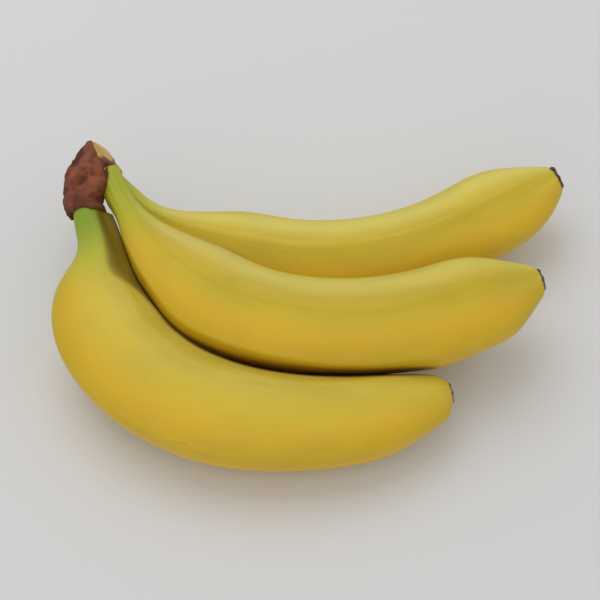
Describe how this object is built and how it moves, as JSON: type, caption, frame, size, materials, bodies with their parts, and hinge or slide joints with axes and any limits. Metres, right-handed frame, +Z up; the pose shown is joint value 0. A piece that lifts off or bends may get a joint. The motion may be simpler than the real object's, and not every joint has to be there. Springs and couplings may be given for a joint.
{
  "type": "bunch of bananas",
  "caption": "Bunch of ripe bananas joined at one dried brown crown, lying on its side; fresh fruit for eating, display or still-life scenes.",
  "frame": {"origin": "on the table, under the middle of the bunch's bounding box", "axes": "+Z up, +X from the crown towards the blossom ends, +Y from the front banana to the back one"},
  "size_m": [0.2066, 0.1398, 0.0527],
  "materials": {
    "peel": "satin",
    "dried_stem": "matte"
  },
  "bodies": {
    "root": {"crown": "dried_stem", "banana_front": "peel", "banana_middle": "peel", "banana_back": "peel"}
  },
  "joints": []
}
